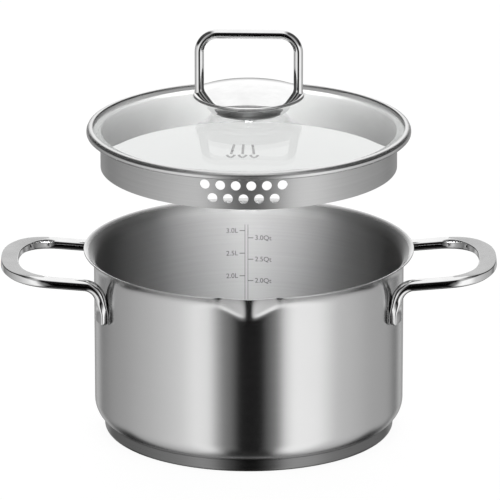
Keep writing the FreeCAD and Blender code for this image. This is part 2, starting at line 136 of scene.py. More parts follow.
def make_object(name, bm, body, slot, materials, replaced=(), sharp=35.0):
    """Turns a bmesh in millimetres into a smooth object that rides on a body."""
    if not isinstance(materials, (list, tuple)):
        materials = [materials]
    bmesh.ops.remove_doubles(bm, verts=bm.verts, dist=0.0005)
    bmesh.ops.recalc_face_normals(bm, faces=bm.faces)
    bmesh.ops.scale(bm, vec=(MM, MM, MM), verts=bm.verts)
    mesh = bpy.data.meshes.new(name)
    bm.to_mesh(mesh)
    bm.free()
    mesh.shade_smooth()
    mesh.set_sharp_from_angle(angle=math.radians(sharp))
    for material in materials:
        mesh.materials.append(material)
    piece = bpy.data.objects.new(name, mesh)
    bpy.context.scene.collection.objects.link(piece)
    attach(piece, body)
    if replaced:
        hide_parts(*replaced)
    return piece


def join_rings(bm, low, high):
    """Faces between two rings of vertices; a ring of one vertex is a pole."""
    count = max(len(low), len(high))
    faces = []
    for j in range(count):
        k = (j + 1) % count
        if len(low) == 1:
            corners = (low[0], high[j], high[k])
        elif len(high) == 1:
            corners = (low[j], low[k], high[0])
        else:
            corners = (low[j], low[k], high[k], high[j])
        faces.append(bm.faces.new(corners))
    return faces


def add_lathe(bm, outline, segments):
    """Turns an outline about Z: a closed loop, or a chain from pole to pole."""
    turns = [2 * math.pi * j / segments for j in range(segments)]
    rings = []
    for across, up in outline:
        if across < POLE:
            rings.append([bm.verts.new((0, 0, up))])
        else:
            rings.append([bm.verts.new((across * math.cos(a), across * math.sin(a), up)) for a in turns])
    pairs = list(zip(rings, rings[1:]))
    if len(rings[0]) > 1 or len(rings[-1]) > 1:
        pairs.append((rings[-1], rings[0]))
    for low, high in pairs:
        join_rings(bm, low, high)


def lathe(name, outline, segments, body, slot, material, replaced=(), **options):
    """An object turned about Z from one outline."""
    bm = bmesh.new()
    add_lathe(bm, outline, segments)
    return make_object(name, bm, body, slot, material, replaced, **options)


def rounded_section(half_width, half_height, corner, steps=6):
    """A rounded rectangle about the origin; it is a circle when all three sizes are equal."""
    section = []
    for quarter, (sx, sy) in enumerate(((1, 1), (-1, 1), (-1, -1), (1, -1))):
        cx = sx * (half_width - corner)
        cy = sy * (half_height - corner)
        section += arc(cx, cy, corner, quarter * 90, quarter * 90 + 90, steps)
    return section


def add_sweep(bm, stations):
    """Joins sections along a path; a station is (centre, side, up, section). Both ends are capped."""
    rings = []
    for centre, side, up, section in stations:
        rings.append([bm.verts.new(centre + side * x + up * y) for x, y in section])
    for low, high in zip(rings, rings[1:]):
        join_rings(bm, low, high)
    for ring in (rings[0], rings[-1]):
        bm.faces.new(ring)


def turn_lid(bm):
    """Turns lid geometry by the small angle at which the lid hangs."""
    bmesh.ops.rotate(bm, cent=(0, 0, 0), matrix=Matrix.Rotation(LID_YAW, 3, "Z"), verts=bm.verts)


# ---------------------------------------------------------------- materials
class Graph:
    """A few shortcuts for building a node tree."""

    def __init__(self, tree):
        self.tree = tree
        tree.nodes.clear()

    def node(self, kind, **settings):
        made = self.tree.nodes.new(kind)
        for key, value in settings.items():
            setattr(made, key, value)
        return made

    def link(self, source, target):
        self.tree.links.new(source, target)

    def put(self, socket, value):
        if isinstance(value, bpy.types.NodeSocket):
            self.link(value, socket)
        else:
            socket.default_value = value

    def math(self, operation, a, b=0.0):
        made = self.node("ShaderNodeMath", operation=operation)
        self.put(made.inputs[0], a)
        self.put(made.inputs[1], b)
        return made.outputs[0]

    def combine(self, x, y, z):
        made = self.node("ShaderNodeCombineXYZ")
        for socket, value in zip(made.inputs, (x, y, z)):
            self.put(socket, value)
        return made.outputs[0]

    def split(self, vector):
        """The x, y and z of a vector."""
        made = self.node("ShaderNodeSeparateXYZ")
        self.link(vector, made.inputs[0])
        return made.outputs

    def noise(self, vector, scale=1.0, detail=3.0, rough=0.55):
        made = self.node("ShaderNodeTexNoise")
        self.link(vector, made.inputs["Vector"])
        made.inputs["Scale"].default_value = scale
        made.inputs["Detail"].default_value = detail
        made.inputs["Roughness"].default_value = rough
        return made.outputs["Fac"]

    def remap(self, value, low, high, start=0.3, end=0.7):
        """Runs from low to high while value runs from start to end, and stays there beyond them."""
        made = self.node("ShaderNodeMapRange")
        self.link(value, made.inputs["Value"])
        for key, number in (("From Min", start), ("From Max", end), ("To Min", low), ("To Max", high)):
            made.inputs[key].default_value = number
        return made.outputs["Result"]

    def grey(self, value, dark, light):
        """A colour that runs from dark to light as value goes from 0 to 1."""
        made = self.node("ShaderNodeMix", data_type="RGBA")
        self.put(made.inputs[0], value)
        made.inputs[6].default_value = (*dark, 1)
        made.inputs[7].default_value = (*light, 1)
        return made.outputs[2]

    def bump(self, height, distance, strength):
        made = self.node("ShaderNodeBump")
        made.inputs["Strength"].default_value = strength
        made.inputs["Distance"].default_value = distance
        self.link(height, made.inputs["Height"])
        return made.outputs["Normal"]


def new_material(name):
    """A material with one principled shader, and the graph to add to it."""
    material = bpy.data.materials.new(name)
    material.use_nodes = True
    graph = Graph(material.node_tree)
    shader = graph.node("ShaderNodeBsdfPrincipled")
    output = graph.node("ShaderNodeOutputMaterial")
    graph.link(shader.outputs[0], output.inputs[0])
    return material, graph, shader


def turned_metal(
    name, dark, light, rough_low, rough_high, anisotropy, groove=0.00002, pitch=900.0, turn=0.25
):
    """Metal brushed round the pot's axis: fine rings, with reflections drawn out across them."""
    drift = 9.0  # how quickly a streak changes along itself
    material, graph, shader = new_material(name)
    coordinates = graph.node("ShaderNodeTexCoord").outputs["Object"]
    x, y, z = graph.split(coordinates)
    squares = graph.math("ADD", graph.math("MULTIPLY", x, x), graph.math("MULTIPLY", y, y))
    across = graph.math("MULTIPLY", graph.math("ADD", z, graph.math("SQRT", squares)), pitch)
    place = graph.combine(graph.math("MULTIPLY", x, drift), graph.math("MULTIPLY", y, drift), across)
    streaks = graph.noise(place, 1.0, 4.0, 0.7)
    clouds = graph.noise(coordinates, 22.0, 2.0)
    tone = graph.math("ADD", graph.remap(streaks, 0.0, 0.75), graph.remap(clouds, 0.0, 0.25))
    graph.link(graph.grey(tone, dark, light), shader.inputs["Base Color"])
    graph.link(graph.remap(streaks, rough_low, rough_high), shader.inputs["Roughness"])
    graph.link(graph.bump(streaks, groove, 0.5), shader.inputs["Normal"])
    tangent = graph.node("ShaderNodeTangent", direction_type="RADIAL", axis="Z")
    graph.link(tangent.outputs[0], shader.inputs["Tangent"])
    shader.inputs["Metallic"].default_value = 1.0
    shader.inputs["Anisotropic"].default_value = anisotropy
    shader.inputs["Anisotropic Rotation"].default_value = turn
    return material


def polished_metal(name, dark, light, rough_low, rough_high):
    """Buffed metal: nearly a mirror, with faint cloudy wear and very fine scratches."""
    material, graph, shader = new_material(name)
    coordinates = graph.node("ShaderNodeTexCoord").outputs["Object"]
    clouds = graph.noise(coordinates, 90.0, 3.0)
    scratches = graph.noise(coordinates, 1400.0, 2.0)
    graph.link(graph.grey(graph.remap(clouds, 0.0, 1.0), dark, light), shader.inputs["Base Color"])
    worn = graph.math("MULTIPLY", graph.math("ADD", clouds, scratches), 0.5)
    graph.link(graph.remap(worn, rough_low, rough_high), shader.inputs["Roughness"])
    graph.link(graph.bump(scratches, 0.000004, 0.3), shader.inputs["Normal"])
    shader.inputs["Metallic"].default_value = 1.0
    return material


def soft_material(name, dark, light, rough_low, rough_high, scale=500.0, alpha=1.0):
    """Moulded silicone, print or paint: matt, faintly mottled and slightly uneven."""
    material, graph, shader = new_material(name)
    coordinates = graph.node("ShaderNodeTexCoord").outputs["Object"]
    mottle = graph.noise(coordinates, scale, 3.0)
    graph.link(graph.grey(graph.remap(mottle, 0.0, 1.0), dark, light), shader.inputs["Base Color"])
    graph.link(graph.remap(mottle, rough_low, rough_high), shader.inputs["Roughness"])
    graph.link(graph.bump(mottle, 0.00002, 0.4), shader.inputs["Normal"])
    shader.inputs["Alpha"].default_value = alpha
    return material


def clear_glass(name):
    """Clear glass with a faint uneven film."""
    material, graph, shader = new_material(name)
    coordinates = graph.node("ShaderNodeTexCoord").outputs["Object"]
    film = graph.noise(coordinates, 30.0, 3.0)
    graph.link(graph.grey(film, (0.765, 0.775, 0.77), (0.79, 0.80, 0.795)), shader.inputs["Base Color"])
    graph.link(graph.remap(film, 0.0, 0.012, 0.45, 0.8), shader.inputs["Roughness"])
    shader.inputs["Transmission Weight"].default_value = 1.0
    shader.inputs["IOR"].default_value = 1.2
    shader.inputs["Specular IOR Level"].default_value = 0.15
    return material


def even(value):
    """A neutral grey."""
    return (value, value, value)


shell_steel = turned_metal("shell_steel", even(0.60), even(0.645), 0.20, 0.27, 0.9, groove=0.000007)
# inside of the pan: rougher satin steel, and its colour painted darker than the outside's as painted shade
# inside the pot
inside_satin_and_painted_shade = turned_metal(
    "shell_inside_satin_painted_shade", even(0.36), even(0.41), 0.40, 0.48, 1.0, groove=0.00001, pitch=700.0
)
base_steel = turned_metal("base_steel", even(0.18), even(0.23), 0.26, 0.34, 0.8, pitch=500.0)
skirt_steel = turned_metal("lid_skirt_steel", even(0.52), even(0.60), 0.38, 0.46, 0.3)
# inner face of the skirt: rougher satin steel, and its colour painted darker than the outer face's as
# painted shade under the lid
skirt_inside_satin_painted_shade = turned_metal("lid_skirt_inside_satin_painted_shade", even(0.34), even(0.41), 0.5, 0.6, 0.3)
ring_steel = turned_metal(
    "lid_ring_steel", even(0.62), even(0.68), 0.22, 0.28, 0.8, groove=0.000006, turn=0.0
)
rod_steel = polished_metal("rod_steel", even(0.68), even(0.75), 0.05, 0.10)
grip_steel = polished_metal("grip_steel", even(0.33), even(0.39), 0.24, 0.32)
knob_steel = polished_metal("knob_steel", even(0.70), even(0.77), 0.04, 0.08)
fastener_steel = polished_metal("fastener_steel", even(0.55), even(0.62), 0.16, 0.26)
core_aluminium = turned_metal("core_aluminium", even(0.62), even(0.72), 0.3, 0.4, 0.4)
seal_silicone = soft_material("seal_silicone", even(0.36), even(0.42), 0.45, 0.6)
etched_mark = soft_material("etched_mark", even(0.045), even(0.075), 0.5, 0.65)
glass_print = soft_material("glass_print", even(0.44), even(0.52), 0.4, 0.5, alpha=0.45)
glass = clear_glass("clear_glass")

for label, finish in (
    ("base_core", core_aluminium), ("knob_stud", fastener_steel),
    ("knob_seal", seal_silicone), ("hole_bush", seal_silicone), ("under_seal", seal_silicone),
    ("plain_washer", fastener_steel), ("spring_washer", fastener_steel), ("dome_nut", fastener_steel),
):
    nodes[label].data.materials.clear()
    nodes[label].data.materials.append(finish)


# ---------------------------------------------------------------- pan shell with its spout
def pan_outline():
    """Half section of the shell, from the outside of the floor to its inside."""
    outer = PAN_BORE + WALL
    corner_z = PAN_UNDERSIDE + PAN_CORNER
    flare_start = PAN_TOP - FLARE_HEIGHT
    # the flare stops a little short, so that its rounded lip stays inside the CAD box
    lean = math.degrees(math.asin(FLARE_HEIGHT / FLARE_RADIUS)) - 2.3
    points = [(0, PAN_UNDERSIDE)] + [(r, PAN_UNDERSIDE) for r in (30, 60, outer - PAN_CORNER - 0.5)]
    points += arc(outer - PAN_CORNER, corner_z, PAN_CORNER, -90, 0, 14)
    points += [(outer, z) for z in (corner_z + 0.6, 45, 70, 90, 100)]
    points += [(outer, z) for z in spread(SPOUT_APEX - 2, flare_start - 0.5, 8)]
    centre_x = PAN_BORE + FLARE_RADIUS
    flare_out = arc(centre_x, flare_start, FLARE_RADIUS - WALL, 180, 180 - lean, 9)
    flare_in = arc(centre_x, flare_start, FLARE_RADIUS, 180, 180 - lean, 9)
    top_out, top_in = Vector(flare_out[-1]), Vector(flare_in[-1])
    middle = (top_out + top_in) / 2
    across = (top_out - top_in) / 2
    along = Vector((across.y, -across.x)) * -1
    lip = [tuple(middle + across * math.cos(t) + along * math.sin(t)) for t in spread(0, math.pi, 6)]
    top = max(z for _, z in lip)
    lip = [(r, z - (top - PAN_TOP)) for r, z in lip]
    points += flare_out[:-1] + lip + flare_in[-2::-1]
    points += [(PAN_BORE, z) for z in spread(flare_start - 0.5, SPOUT_APEX - 2, 8)]
    points += [(PAN_BORE, z) for z in (100, 90, 70, 45, corner_z + 0.6)]
    points += arc(PAN_BORE - PAN_CORNER + WALL, corner_z, PAN_CORNER - WALL, 0, -90, 14)
    floor = PAN_UNDERSIDE + WALL
    points += [(r, floor) for r in (80, 60, 30, 8)] + [(0, floor)]
    return points


SPOUT_RIDGE = 5.0  # rounding of the ridge between the flanks of the V
SPOUT_SLOPE = 0.50  # how fast the flanks fall back at the apex
SPOUT_SLOPE_LOSS = 0.165  # how much less they fall back at the rim
SPOUT_FLANK = 21.0  # half width at which the flanks bend away
SPOUT_BEND = 0.05  # how strongly they bend, per mm
SPOUT_BLEND = 1.6  # width of the soft join between the V and the round wall
FLARE_RETURNS = (10, 22)  # the flare fades in between these distances from the ridge


def spout_depth(x, up, across, inside):
    """How far the shell stands in front of the axis at x, where the V of the spout is pressed into it."""
    outer = PAN_BORE + WALL
    wall_radius = PAN_BORE if inside else outer
    rise = (up - SPOUT_APEX) / (PAN_TOP - SPOUT_APEX)
    width = abs(x)
    flare = (across - wall_radius) * smooth(width, *FLARE_RETURNS)
    plain = math.sqrt(max((wall_radius + flare) ** 2 - x * x, 0.0))
    tip = outer + (SPOUT_REACH - outer) * rise - (WALL * 1.1 if inside else 0.0)
    slope = SPOUT_SLOPE - SPOUT_SLOPE_LOSS * max(rise, 0.0) ** 3
    valley = tip - slope * (math.hypot(x, SPOUT_RIDGE) - SPOUT_RIDGE)
    valley -= SPOUT_BEND * max(width - SPOUT_FLANK, 0.0) ** 2
    overlap = max(SPOUT_BLEND - abs(plain - valley), 0.0)
    return min(max(plain, valley) + overlap * overlap / (4 * SPOUT_BLEND), SPOUT_REACH)


def make_pan():
    """The shell with its spout, brushed outside and satin inside; the inside's steel colour is painted
    darker as painted shade.
    """
    outline = pan_outline()
    top = max(range(len(outline)), key=lambda i: outline[i][1])
    segments = 480
    crowding = 0.55  # columns stand closer together at the spout
    turns = [2 * math.pi * j / segments for j in range(segments)]
    turns = [t - crowding * math.sin(t) for t in turns]
    bm = bmesh.new()
    rings = []
    for i, (across, up) in enumerate(outline):
        if across < POLE:
            rings.append([bm.verts.new((0, 0, up))])
            continue
        ring = []
        for a in turns:
            x = across * math.sin(a)
            depth = across * math.cos(a)
            if math.cos(a) > 0.7 and up > SPOUT_APEX - 2.5:
                depth = spout_depth(x, up, across, i > top)
            ring.append(bm.verts.new((x, -depth, up)))
        rings.append(ring)
    # faces past the lip take the inside steel, whose darker colour is painted shade
    for i, (low, high) in enumerate(zip(rings, rings[1:])):
        for face in join_rings(bm, low, high):
            face.material_index = 1 if i > top + 2 else 0
    make_object("pan_shell", bm, "pan", "shell_steel", [shell_steel, inside_satin_and_painted_shade], ["pan_body"], sharp=60)


def make_base():
    """The encapsulated base: a pressed cap with a rolled edge, drawn up against the shell."""
    radius = cap_high.x
    top = cap_high.z
    thickness = 0.5
    edge = 2.5
    lip = 0.3
    outline = [(0, 0.0), (60, 0.0), (88, 0.0)]
    outline += arc(radius - edge, edge, edge, -90, 0, 6)
    outline += [(radius, edge + 0.7), (radius, top - 2 * lip)]
    outline += arc(radius - lip, top - lip, lip, 0, 90, 3)
    outline += [(radius - thickness, top - lip - 0.05), (radius - thickness, edge)]
    outline += arc(radius - edge, edge, edge - thickness, 0, -90, 5)
    outline += [(60, thickness), (0, thickness)]
    lathe("base_capsule", outline, 256, "pan", "base_steel", base_steel, ["base_cap"])


# ---------------------------------------------------------------- handles
ROD = 3.75
ARM_Y = 41.8
ARM_END = 124.0
TILT = math.radians(4.6)
ARM_HEIGHT = 109.0
BEND = 11.0
LEG_RADIUS = 104.4
PADDLE = (5.1, 2.5, 1.1)  # half width, half depth and corner of the flattened foot
PADDLE_END = 6.0  # height above the foot where the flat starts to grow round
FOOT_ROUNDING = 1.6
FOOT_NARROWING = 1.3
GRIP_HALF_THICKNESS = 2.3
GRIP_INSIDE = 150.0
GRIP_CORNER = 0.8
# the loop's two outlines are superellipses; these are the powers of their sines and cosines
INNER_POWER = 2 / 2.4
OUTER_POWER = 2 / 2.5


def handle_stations(side):
    """Sections of one handle from the foot of its near leg to that of its far leg."""
    reach = grip_high.x - GRIP_HALF_THICKNESS * math.sin(TILT)
    leg_x = math.sqrt(LEG_RADIUS ** 2 - ARM_Y ** 2)
    bend_x = leg_x + BEND
    start_x = bend_x - BEND * math.sin(TILT)
    bend_z = ARM_HEIGHT - BEND * math.cos(TILT)
    azimuth = math.atan2(ARM_Y, leg_x)
    paddle_radius = PAN_BORE + WALL + PADDLE[1] - 0.05
    paddle_x = math.cos(azimuth) * paddle_radius
    paddle_y = -math.sin(azimuth) * paddle_radius
    foot = grip_low.z
    half = []

    def roundness(z):
        """0 where the leg is flat, 1 where it is the round rod."""
        return smooth(z, foot + PADDLE_END, bend_z + 5.0)

    # leg: a flat bar square to the pan's radius, growing into the round rod
    rows = [foot + rise for rise in (0.0, 0.25, 0.8, 1.6, 3.0, 5.0, 7.0)]
    rows += spread(foot + 8.5, bend_z, 7)
    for z in rows:
        shape = roundness(z)
        centre = Vector((mix(paddle_x, leg_x, shape), mix(paddle_y, -ARM_Y, shape), z))
        turned = azimuth * (1 - shape)
        across = Vector((-math.sin(turned), -math.cos(turned), 0))
        out = Vector((math.cos(turned), -math.sin(turned), 0))
        width, depth, corner = (mix(flat, ROD, shape) for flat in PADDLE)
        end = min((z - foot) / FOOT_ROUNDING, 1.0)
        shrink = FOOT_NARROWING * (1 - math.sqrt(max(1 - (1 - end) ** 2, 0.0)))
        section = rounded_section(width - shrink, depth - shrink * 0.4, corner * 0.9)
        half.append((centre, across, out, section))

    # bend from the leg into the arm
    for t in spread(6, 90 - math.degrees(TILT), 12):
        a = math.radians(t)
        z = bend_z + BEND * math.sin(a)
        shape = roundness(z)
        flat_centre = Vector((paddle_x + BEND - BEND * math.cos(a), paddle_y, z))
        centre = flat_centre.lerp(Vector((bend_x - BEND * math.cos(a), -ARM_Y, z)), shape)
        turned = azimuth * (1 - shape)
        across = Vector((-math.sin(turned), -math.cos(turned), 0))
        out = Vector((math.cos(a), 0, -math.sin(a)))
        width, depth, corner = (mix(flat, ROD, shape) for flat in PADDLE)
        half.append((centre, across, out, rounded_section(width, depth, corner)))

    # arm and grip lie in a plane that rises outwards
    def on_plane(x, y):
        return Vector((x, y, ARM_HEIGHT + (x - start_x) * math.tan(TILT)))

    def loop_point(end_x, side_y, a, power):
        """A point on one outline of the loop, from the end of its arm at 0 to its middle."""
        along = ARM_END + (end_x - ARM_END) * math.sin(a) ** power
        return on_plane(along, -side_y * math.cos(a) ** power)

    down = Vector((math.sin(TILT), 0, -math.cos(TILT)))
    for x in spread(start_x + 1.5, ARM_END - 1.0, 5):
        half.append((on_plane(x, -ARM_Y), Vector((0, -1, 0)), down, rounded_section(ROD, ROD, ROD)))
    for t in spread(0, 90, 26):
        a = math.radians(t)
        near = loop_point(GRIP_INSIDE, ARM_Y - ROD, a, INNER_POWER)
        far = loop_point(reach, ARM_Y + ROD, a, OUTER_POWER)
        width = (far - near).length / 2
        height = mix(ROD, GRIP_HALF_THICKNESS, smooth(t, 4, 62))
        corner = min(mix(ROD, GRIP_CORNER, smooth(t, 2, 45)), width, height)
        section = rounded_section(width, height, corner)
        half.append(((near + far) / 2, (far - near).normalized(), down, section))
    mirrored = []
    for centre, across, out, section in half[-2::-1]:
        centre = Vector((centre.x, -centre.y, centre.z))
        across = Vector((across.x, -across.y, across.z))
        mirrored.append((centre, across, Vector((out.x, -out.y, out.z)), section))
    stations = half + mirrored
    if side < 0:
        flip = Vector((-1, 1, 1))
        stations = [(c * flip, a * flip, o * flip, s) for c, a, o, s in stations]
    return stations


def make_handle(side, name, node):
    """One handle, with the flat faces of its grip in the duller steel."""
    level, grip_start = 0.93, 132.0
    bm = bmesh.new()
    add_sweep(bm, handle_stations(side))
    bm.normal_update()
    for face in bm.faces:
        if abs(face.normal.z) > level and abs(face.calc_center_median().x) > grip_start:
            face.material_index = 1
    make_object(name, bm, "pan", "rod_steel", [rod_steel, grip_steel], [node], sharp=50)


# ---------------------------------------------------------------- lid
RING_LIP = 3.7
STRIP_OVERLAP = 1.2  # how far the ring's strip reaches down into the skirt
HOLE_PITCH = 9.85
HOLE_RADIUS = 3.1
HOLE_STEPS = 8  # faces along one side of the cell around a hole
HIGH_HOLES = 6
LOW_HOLES = 5
LOW_ROW = rim_low.z + 7.0
HIGH_ROW = rim_low.z + 15.6


def make_lid_ring():
    """The ring rolled around the edge of the glass, down to where the skirt begins."""
    outer = rim_high.x
    low, high = LID_Z, rim_high.z
    lip = outer - RING_LIP
    inner = SKIRT_RADIUS - LID_SHEET
    ring = soften([
        (inner, low + LID_SHEET), (inner, low - STRIP_OVERLAP), (SKIRT_RADIUS, low - STRIP_OVERLAP),
        (SKIRT_RADIUS, low, 0.5), (outer, low, 1.5), (outer, high, 3.0),
        (lip, high, 0.2), (lip - 0.8, high - LID_SHEET, 0.1), (outer - LID_SHEET, high - LID_SHEET, 1.2),
        (outer - LID_SHEET, low + LID_SHEET, 0.9),
    ], 5)
    bm = bmesh.new()
    add_lathe(bm, ring, 384)
    turn_lid(bm)
    make_object("lid_ring", bm, "lid", "lid_steel", ring_steel, ["lid_rim"], sharp=50)


def make_lid_skirt():
    """The skirt under the ring, with real strainer holes in its front."""
    middle = (LOW_ROW + HIGH_ROW) / 2
    margin = HOLE_PITCH / 2 - 0.6
    cell_low, cell_high = LOW_ROW - margin, HIGH_ROW + margin
    foot, top = rim_low.z, LID_Z - STRIP_OVERLAP / 2
    edge = HIGH_HOLES / 2 * HOLE_PITCH
    low_edge = LOW_HOLES / 2 * HOLE_PITCH
    bm = bmesh.new()
    cache = {}

    def vertex(x, z):
        key = (round(x, 4), round(z, 4))
        if key not in cache:
            cache[key] = bm.verts.new((x, -math.sqrt(SKIRT_RADIUS ** 2 - x * x), z))
        return cache[key]

    def cell(x0, x1, z0, z1, cx, cz):
        """One rectangle of the skirt with a round hole in it."""
        shares = [i / HOLE_STEPS for i in range(HOLE_STEPS)]
        border = [(mix(x0, x1, t), z0) for t in shares]
        border += [(x1, mix(z0, z1, t)) for t in shares]
        border += [(mix(x1, x0, t), z1) for t in shares]
        border += [(x0, mix(z1, z0, t)) for t in shares]
        count = len(border)
        loops = []
        for share in (1.0, 0.45, 0.12, 0.0):
            loop = []
            for i, (bx, bz) in enumerate(border):
                a = -3 * math.pi / 4 + 2 * math.pi * i / count
                rx, rz = cx + HOLE_RADIUS * math.cos(a), cz + HOLE_RADIUS * math.sin(a)
                loop.append(vertex(mix(rx, bx, share), mix(rz, bz, share)))
            loops.append(loop)
        for a, b in zip(loops, loops[1:]):
            join_rings(bm, a, b)

    def plain(xs, zs):
        for x0, x1 in zip(xs, xs[1:]):
            for z0, z1 in zip(zs, zs[1:]):
                bm.faces.new([vertex(x, z) for x, z in ((x0, z0), (x1, z0), (x1, z1), (x0, z1))])

    def row_of_cells(count, z0, z1, cz):
        for i in range(count):
            x = HOLE_PITCH * (i - (count - 1) / 2)
            cell(x - HOLE_PITCH / 2, x + HOLE_PITCH / 2, z0, z1, x, cz)

    row_of_cells(HIGH_HOLES, middle, cell_high, HIGH_ROW)
    row_of_cells(LOW_HOLES, cell_low, middle, LOW_ROW)
    column = spread(cell_low, middle, HOLE_STEPS)
    plain(spread(-edge, edge, HIGH_HOLES * HOLE_STEPS), [cell_high, top])
    plain(spread(-low_edge, low_edge, LOW_HOLES * HOLE_STEPS), [foot, cell_low])
    for first, last in ((-edge, -low_edge), (low_edge, edge)):
        plain(spread(first, last, HOLE_STEPS // 2), [foot] + column)

    # the rest of the skirt, all the way round from one side of the holes to the other
    rows = [foot] + column + spread(middle, cell_high, HOLE_STEPS)[1:] + [top]
    gap = math.asin(edge / SKIRT_RADIUS)
    angles = spread(-math.pi / 2 + gap, 1.5 * math.pi - gap, 330)
    columns = [[vertex(edge, z) for z in rows]]
    for a in angles[1:-1]:
        x, y = SKIRT_RADIUS * math.cos(a), SKIRT_RADIUS * math.sin(a)
        columns.append([bm.verts.new((x, y, z)) for z in rows])
    columns.append([vertex(-edge, z) for z in rows])
    for near, far in zip(columns, columns[1:]):
        for j in range(len(rows) - 1):
            bm.faces.new((near[j], far[j], far[j + 1], near[j + 1]))

    # rounding can leave two vertices in one place, which would open a crack
    bmesh.ops.remove_doubles(bm, verts=bm.verts, dist=0.001)

    # the sheet's inner face, whose darker steel colour is painted shade under the lid, and the walls of
    # the holes and edges between the two faces
    border = [rim for rim in bm.edges if len(rim.link_faces) == 1]
    inner_side = {}
    shrink = (SKIRT_RADIUS - LID_SHEET) / SKIRT_RADIUS
    for v in list(bm.verts):
        inner_side[v] = bm.verts.new((v.co.x * shrink, v.co.y * shrink, v.co.z))
    for face in list(bm.faces):
        bm.faces.new([inner_side[v] for v in reversed(face.verts)]).material_index = 1
    for rim in border:
        a, b = rim.verts
        bm.faces.new((a, b, inner_side[b], inner_side[a]))
    turn_lid(bm)
    finishes = [skirt_steel, skirt_inside_satin_painted_shade]
    make_object("lid_skirt", bm, "lid", "lid_steel", finishes, ["lid_rim"], sharp=40)


def make_glass_dome():
    """Tempered glass: flat at the edge, domed within, with softened rims."""
    low, high = glass_low.z, glass_high.z
    thickness, hole, outer = GLASS_THICKNESS, 5.0, glass_high.x
    softened = 1.2
    rise = high - low - thickness
    flat = outer - 5.4
    curve = (flat * flat + rise * rise) / (2 * rise)

    def crown(radius):
        return math.sqrt(curve * curve - radius * radius) - (curve - rise)

    radii = spread(hole, flat - 4, 36)
    under = [(r, low + crown(r)) for r in radii] + [(flat - 1.5, low + 0.38), (flat + 1.0, low + 0.02)]
    over = [(r, z + thickness) for r, z in reversed(under)]
    rim = soften([
        (outer - softened, low), (outer, low, softened / 2),
        (outer, low + thickness, softened / 2), (outer - softened, low + thickness),
    ], 4, False)
    bm = bmesh.new()
    add_lathe(bm, under + rim + over, 288)
    turn_lid(bm)
    make_object("lid_dome", bm, "lid", "clear_glass", glass, ["lid_glass"], sharp=60)
    return crown, low + thickness


KNOB_SHEET = 0.8
CUP_FOOT = 21.0
CUP_BEND = 6.5
LOOP_WIRE = 3.0
LOOP_HALF = 31.9
LOOP_CORNER = 12.0
WELD_COLLAR = 0.28


def make_knob_cup():
    """The cup under the cover: a flat foot, a round bend and a wall that flares towards its lip."""
    seat, lip_z = cup_low.z, cup_high.z
    lip = cup_high.x
    edge_radius = 0.35
    outside = [(0, seat), (12, seat), (CUP_FOOT, seat)]
    outside += arc(CUP_FOOT + 0.5, seat + CUP_BEND, CUP_BEND, -84, -20, 8)
    wall_x, wall_z = outside[-1]
    for t in spread(0.08, 1.0, 12):
        r = wall_x + (lip - 0.4 - wall_x) * (0.55 * t + 0.45 * t ** 3.2)
        outside.append((r, mix(wall_z, lip_z - edge_radius, t)))
    edge = arc(lip - edge_radius, lip_z - edge_radius, edge_radius, 0, 90, 3)
    inside = [(r - KNOB_SHEET, z + KNOB_SHEET * 0.25) for r, z in reversed(outside[3:-1])]
    inside = [(r, min(z, lip_z - 0.1)) for r, z in inside]
    inside += [(CUP_FOOT + 1.0, seat + KNOB_SHEET), (0, seat + KNOB_SHEET)]
    lathe("knob_cup_shell", outside + edge + inside, 160,
          "lid", "knob_steel", knob_steel, ["knob_cup"], sharp=60)


def cover_crown(r):
    """Height of the top of the knob's cover at a distance from its axis."""
    radius = cover_high.x
    rise = cover_high.z - cover_low.z - KNOB_SHEET
    curve = (radius * radius + rise * rise) / (2 * rise)
    return cover_low.z + KNOB_SHEET + math.sqrt(curve * curve - r * r) - (curve - rise)


def make_knob_cover():
    """The domed cover, with a softened edge."""
    radius = cover_high.x
    radii = spread(0, radius - 1.2, 26)
    top = [(r, cover_crown(r)) for r in radii]
    rim = [
        (radius - 0.45, cover_crown(radius - 0.45) - 0.03), (radius - 0.06, cover_crown(radius) - 0.25),
        (radius, cover_crown(radius) - 0.5), (radius - 0.1, cover_low.z + 0.05),
    ]
    under = [(r, cover_crown(r) - KNOB_SHEET) for r in reversed(radii)]
    lathe("knob_cover_dome", top + rim + under, 192,
          "lid", "knob_steel", knob_steel, ["knob_cover"], sharp=60)


def make_knob_loop():
    """The bent wire that stands on the cover, with a small weld fillet at each foot."""
    top = loop_high.z - LOOP_WIRE
    foot = cover_crown(LOOP_HALF)
    turn_z = top - LOOP_CORNER
    inset = LOOP_HALF - LOOP_CORNER
    foot_rows = [foot - 0.4, foot + 0.35, foot + 1.1, foot + 2.5]
    half = [(-LOOP_HALF, z) for z in foot_rows + spread(foot + 6, turn_z - 0.5, 4)]
    half += arc(-inset, turn_z, LOOP_CORNER, 180, 90, 16)
    path = half + [(x, top) for x in spread(-inset + 0.6, inset - 0.6, 6)]
    path += [(-x, z) for x, z in reversed(half)]
    last = len(path) - 1
    bm = bmesh.new()
    rings = []
    for i, (x, z) in enumerate(path):
        from_end = min(i, last - i)
        ahead = Vector(path[min(i + 1, last)]) - Vector(path[max(i - 1, 0)])
        ahead.normalize()
        outward = Vector((-ahead.y, 0, ahead.x))
        collar = WELD_COLLAR * (1 - smooth(abs(z - foot), 0.2, 1.4)) if from_end < 4 else 0.0
        size = LOOP_WIRE + collar
        ring = []
        for px, py in rounded_section(size, size, size, 8):
            point = Vector((x, 0, z)) + outward * px + Vector((0, 1, 0)) * py
            if from_end < 3:
                # the lowest rings follow the slope of the cover
                reach = min(math.hypot(point.x, point.y), cover_high.x - 0.3)
                point.z = cover_crown(reach) + from_end * 0.7 - 0.5
            ring.append(bm.verts.new(point))
        rings.append(ring)
    for low, high in zip(rings, rings[1:]):
        join_rings(bm, low, high)
    bm.faces.new(rings[0])
    bm.faces.new(rings[-1])
    turn_lid(bm)
    make_object("knob_wire_loop", bm, "lid", "rod_steel", rod_steel, ["knob_loop"], sharp=60)


